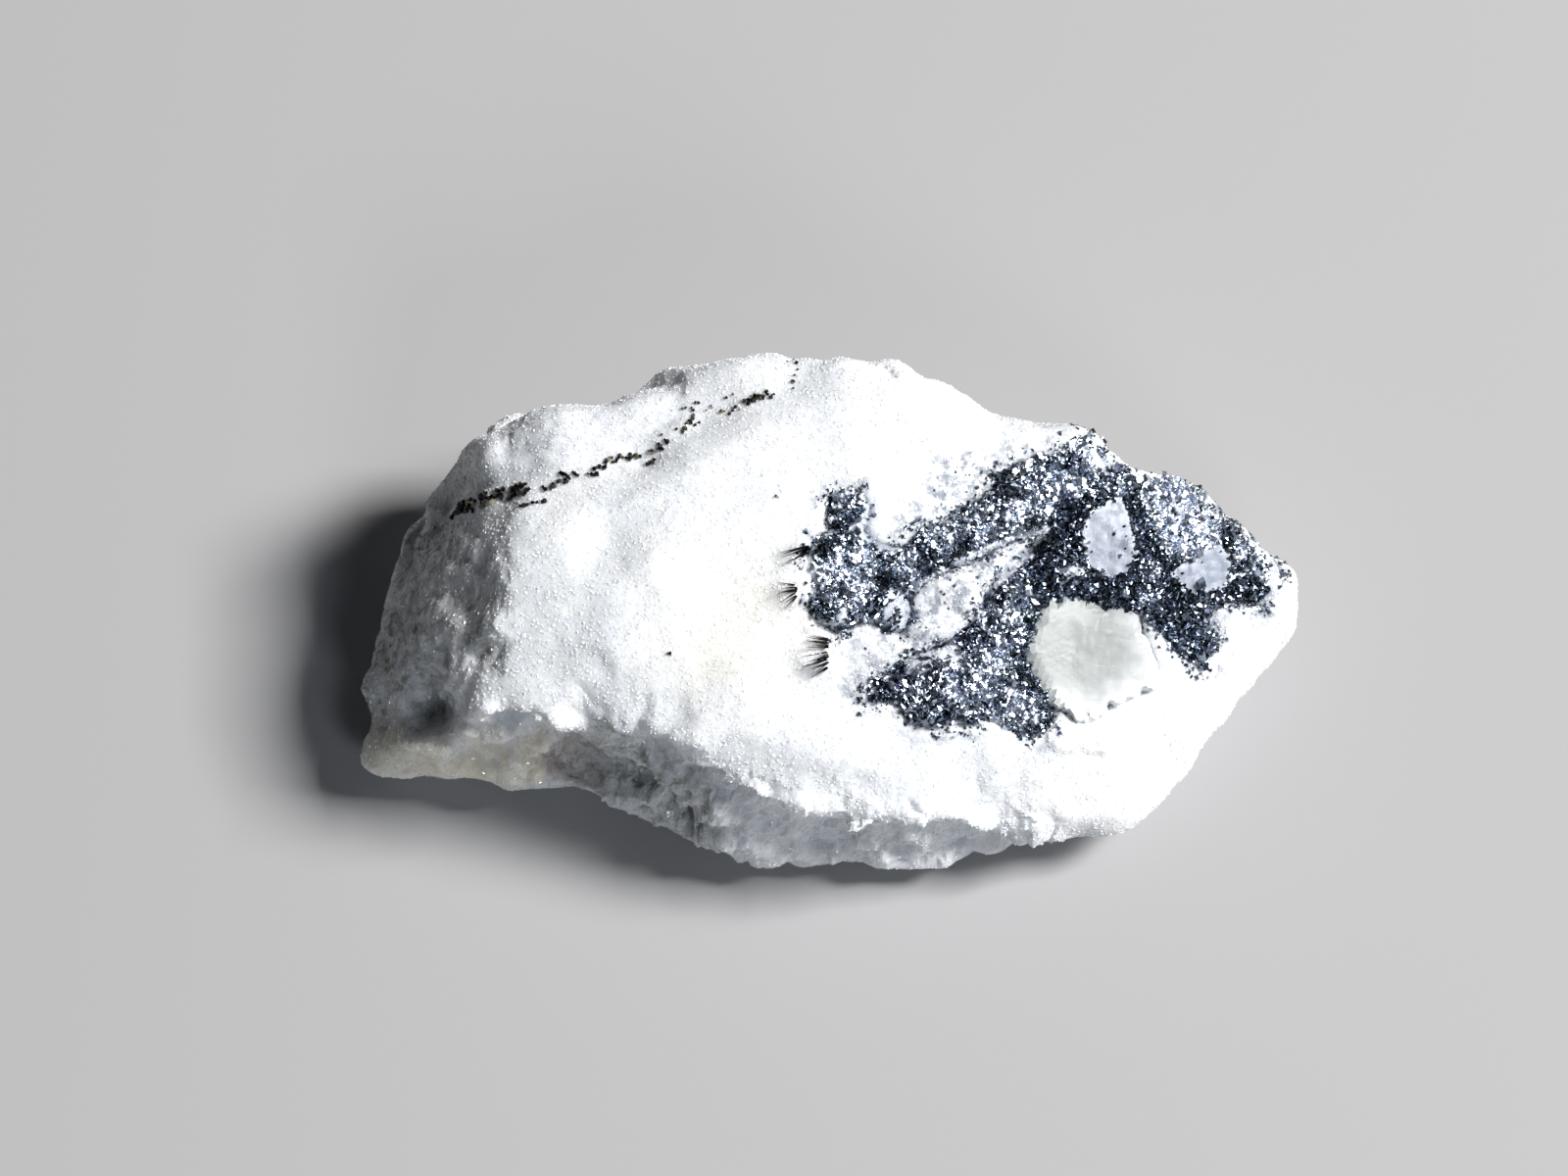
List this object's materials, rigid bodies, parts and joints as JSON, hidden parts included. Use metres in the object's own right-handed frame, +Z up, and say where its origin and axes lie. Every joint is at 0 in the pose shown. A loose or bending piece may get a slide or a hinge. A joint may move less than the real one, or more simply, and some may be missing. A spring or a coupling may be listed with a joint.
{
  "type": "dufrenoysite on dolomite",
  "caption": "Hand specimen of white sugary dolomite with a lead-grey metallic crust of dufrenoysite crystals, a glassy grain, pyrite stringers and needle sprays; lies on a flat break.",
  "frame": {"origin": "centre of the bounding box at the flat break that the rock rests on", "axes": "+X along the rock's length, towards its crystal-covered end; +Y towards its high back; +Z up"},
  "size_m": [0.0486, 0.0262, 0.0158],
  "materials": {
    "dolomite": "white sugary dolomite, finely granular, dull with small glints",
    "dufrenoysite": "dark lead-grey metallic crystals, bright on their flat faces",
    "glassy_dolomite": "glassy, translucent, pale grey-green, with cleavage cracks",
    "pyrite": "dark tarnished brassy cubes",
    "needles": "black metallic hair-thin needles"
  },
  "bodies": {
    "root": {"dolomite_matrix": "dolomite", "dufrenoysite_crust": "dufrenoysite", "glassy_dolomite_grain": "glassy_dolomite", "pyrite_stringer_left": "pyrite", "pyrite_stringer_middle": "pyrite", "pyrite_stringer_right": "pyrite", "needle_spray_upper": "needles", "needle_spray_middle": "needles", "needle_spray_lower": "needles"}
  },
  "joints": []
}
